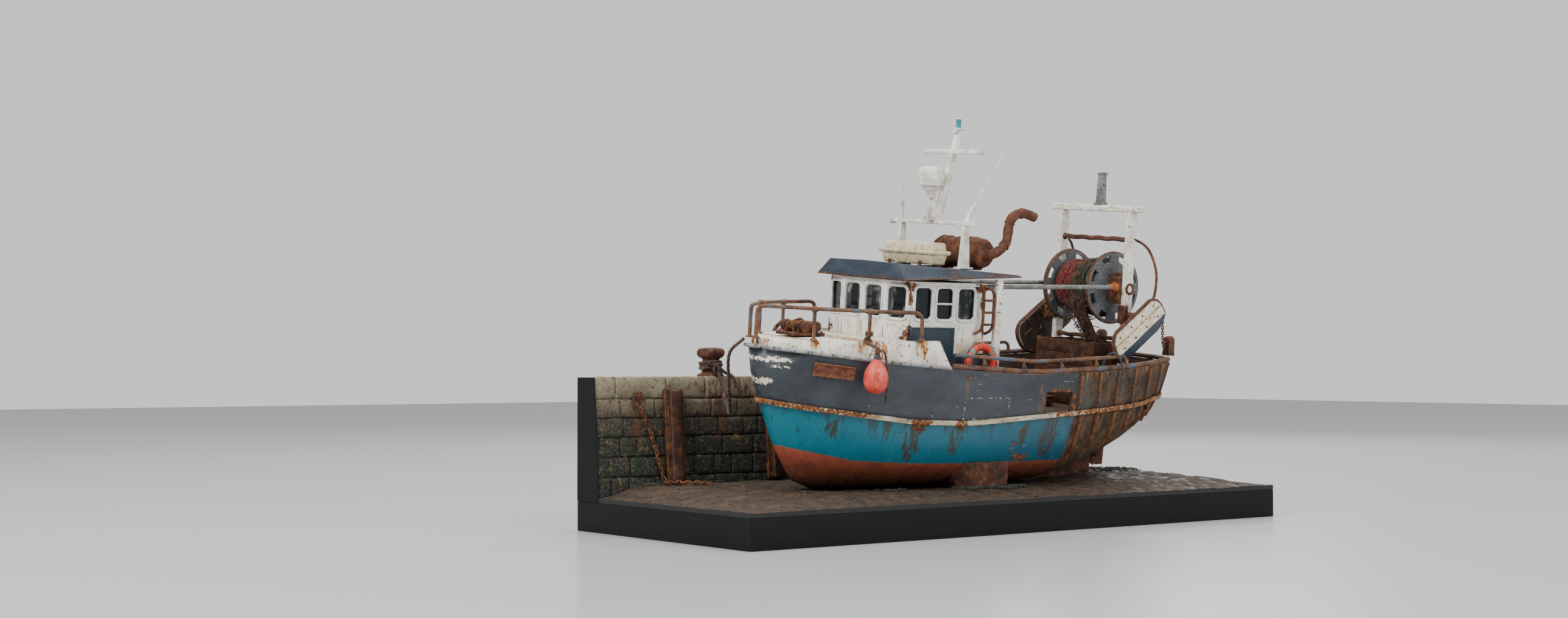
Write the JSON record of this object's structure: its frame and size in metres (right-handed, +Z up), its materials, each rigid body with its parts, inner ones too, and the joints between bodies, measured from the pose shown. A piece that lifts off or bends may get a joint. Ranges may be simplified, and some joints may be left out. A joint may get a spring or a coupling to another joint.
{
  "type": "fishing trawler scale model",
  "caption": "Weathered static scale model of a stern trawler heeled aground beside a stone quay wall, on a black plinth, with turning net drum, rudder and propeller.",
  "frame": {"origin": "centre of the plinth's underside", "axes": "+X to the bow, +Y to port, away from the quay wall, +Z up"},
  "size_m": [0.36, 0.149, 0.2136],
  "materials": {
    "black_paint": "coarse matt texture",
    "mud": "rough earth",
    "stone": "rough stone, green and dark at the foot",
    "timber": "wet weathered timber",
    "rusted_steel": "rusted",
    "rope": "laid rope",
    "hull_paint": "weathered slate blue over turquoise and red",
    "aged_white": "aged white with rust streaks",
    "window_glass": "dusty",
    "roof_paint": "weathered blue grey",
    "orange_red": "faded",
    "board_blue": "satin",
    "lamp_glass": "gloss",
    "drum_grey": "speckled grey",
    "net": "bundled netting",
    "bronze": "tarnished",
    "cable": "dull sheath"
  },
  "bodies": {
    "model": {"plinth": "black_paint", "ground": "mud", "quay_wall": "stone", "fender_post_1": "timber", "fender_post_2": "timber", "fender_post_3": "timber", "fender_post_4": "timber", "fender_post_5": "timber", "bollard": "rusted_steel", "mooring_turns": "rope", "mooring_rope": "rope", "wall_chain": "rusted_steel", "hull": "hull_paint", "rubbing_strake": "aged_white", "gunwale_rail": "rusted_steel", "raised_bow": "aged_white", "keel": "rusted_steel", "bilge_leg_port": "rusted_steel", "bilge_leg_starboard": "rusted_steel", "wheelhouse": "aged_white", "wheelhouse_glass": "window_glass", "wheelhouse_roof": "roof_paint", "roof_post_port": "aged_white", "roof_post_starboard": "aged_white", "ladder": "rusted_steel", "lifebuoy": "orange_red", "number_board": "board_blue", "name_plate_port": "rusted_steel", "name_plate_starboard": "rusted_steel", "liferaft": "aged_white", "exhaust": "rusted_steel", "goal_post": "aged_white", "mast": "aged_white", "mast_lamp": "lamp_glass", "radar": "aged_white", "bow_rail_port": "rusted_steel", "bow_rail_starboard": "rusted_steel", "windlass": "rusted_steel", "low_rail_port": "rusted_steel", "low_rail_starboard": "rusted_steel", "gantry": "aged_white", "net_tail": "net", "stay_port": "drum_grey", "stay_starboard": "drum_grey", "trawl_door_port": "aged_white", "trawl_door_starboard": "aged_white", "deck_pound": "rusted_steel", "quarter_bitt_port": "rusted_steel", "quarter_bitt_starboard": "rusted_steel", "buoy_port": "orange_red", "buoy_starboard": "orange_red", "quarter_cord": "cable"},
    "drum": {"net_drum": "drum_grey", "wound_net": "net"},
    "rudder_blade": {"rudder": "rusted_steel"},
    "screw": {"propeller": "bronze"}
  },
  "joints": [
    {"name": "drum_turn", "type": "hinge", "parent": "model", "child": "drum", "pos_m": [-0.101, 0.0137, 0.12806], "axis": [0, 0.9959, -0.0906], "range_deg": [-25, 25]},
    {"name": "rudder_steer", "type": "hinge", "parent": "model", "child": "rudder_blade", "pos_m": [-0.112, 0.00536, 0.03644], "axis": [0, 0.0906, 0.9959], "range_deg": [-35, 35]},
    {"name": "screw_turn", "type": "hinge", "parent": "model", "child": "screw", "pos_m": [-0.1072, 0.00513, 0.03395], "axis": [1, 0, 0], "continuous": true}
  ]
}
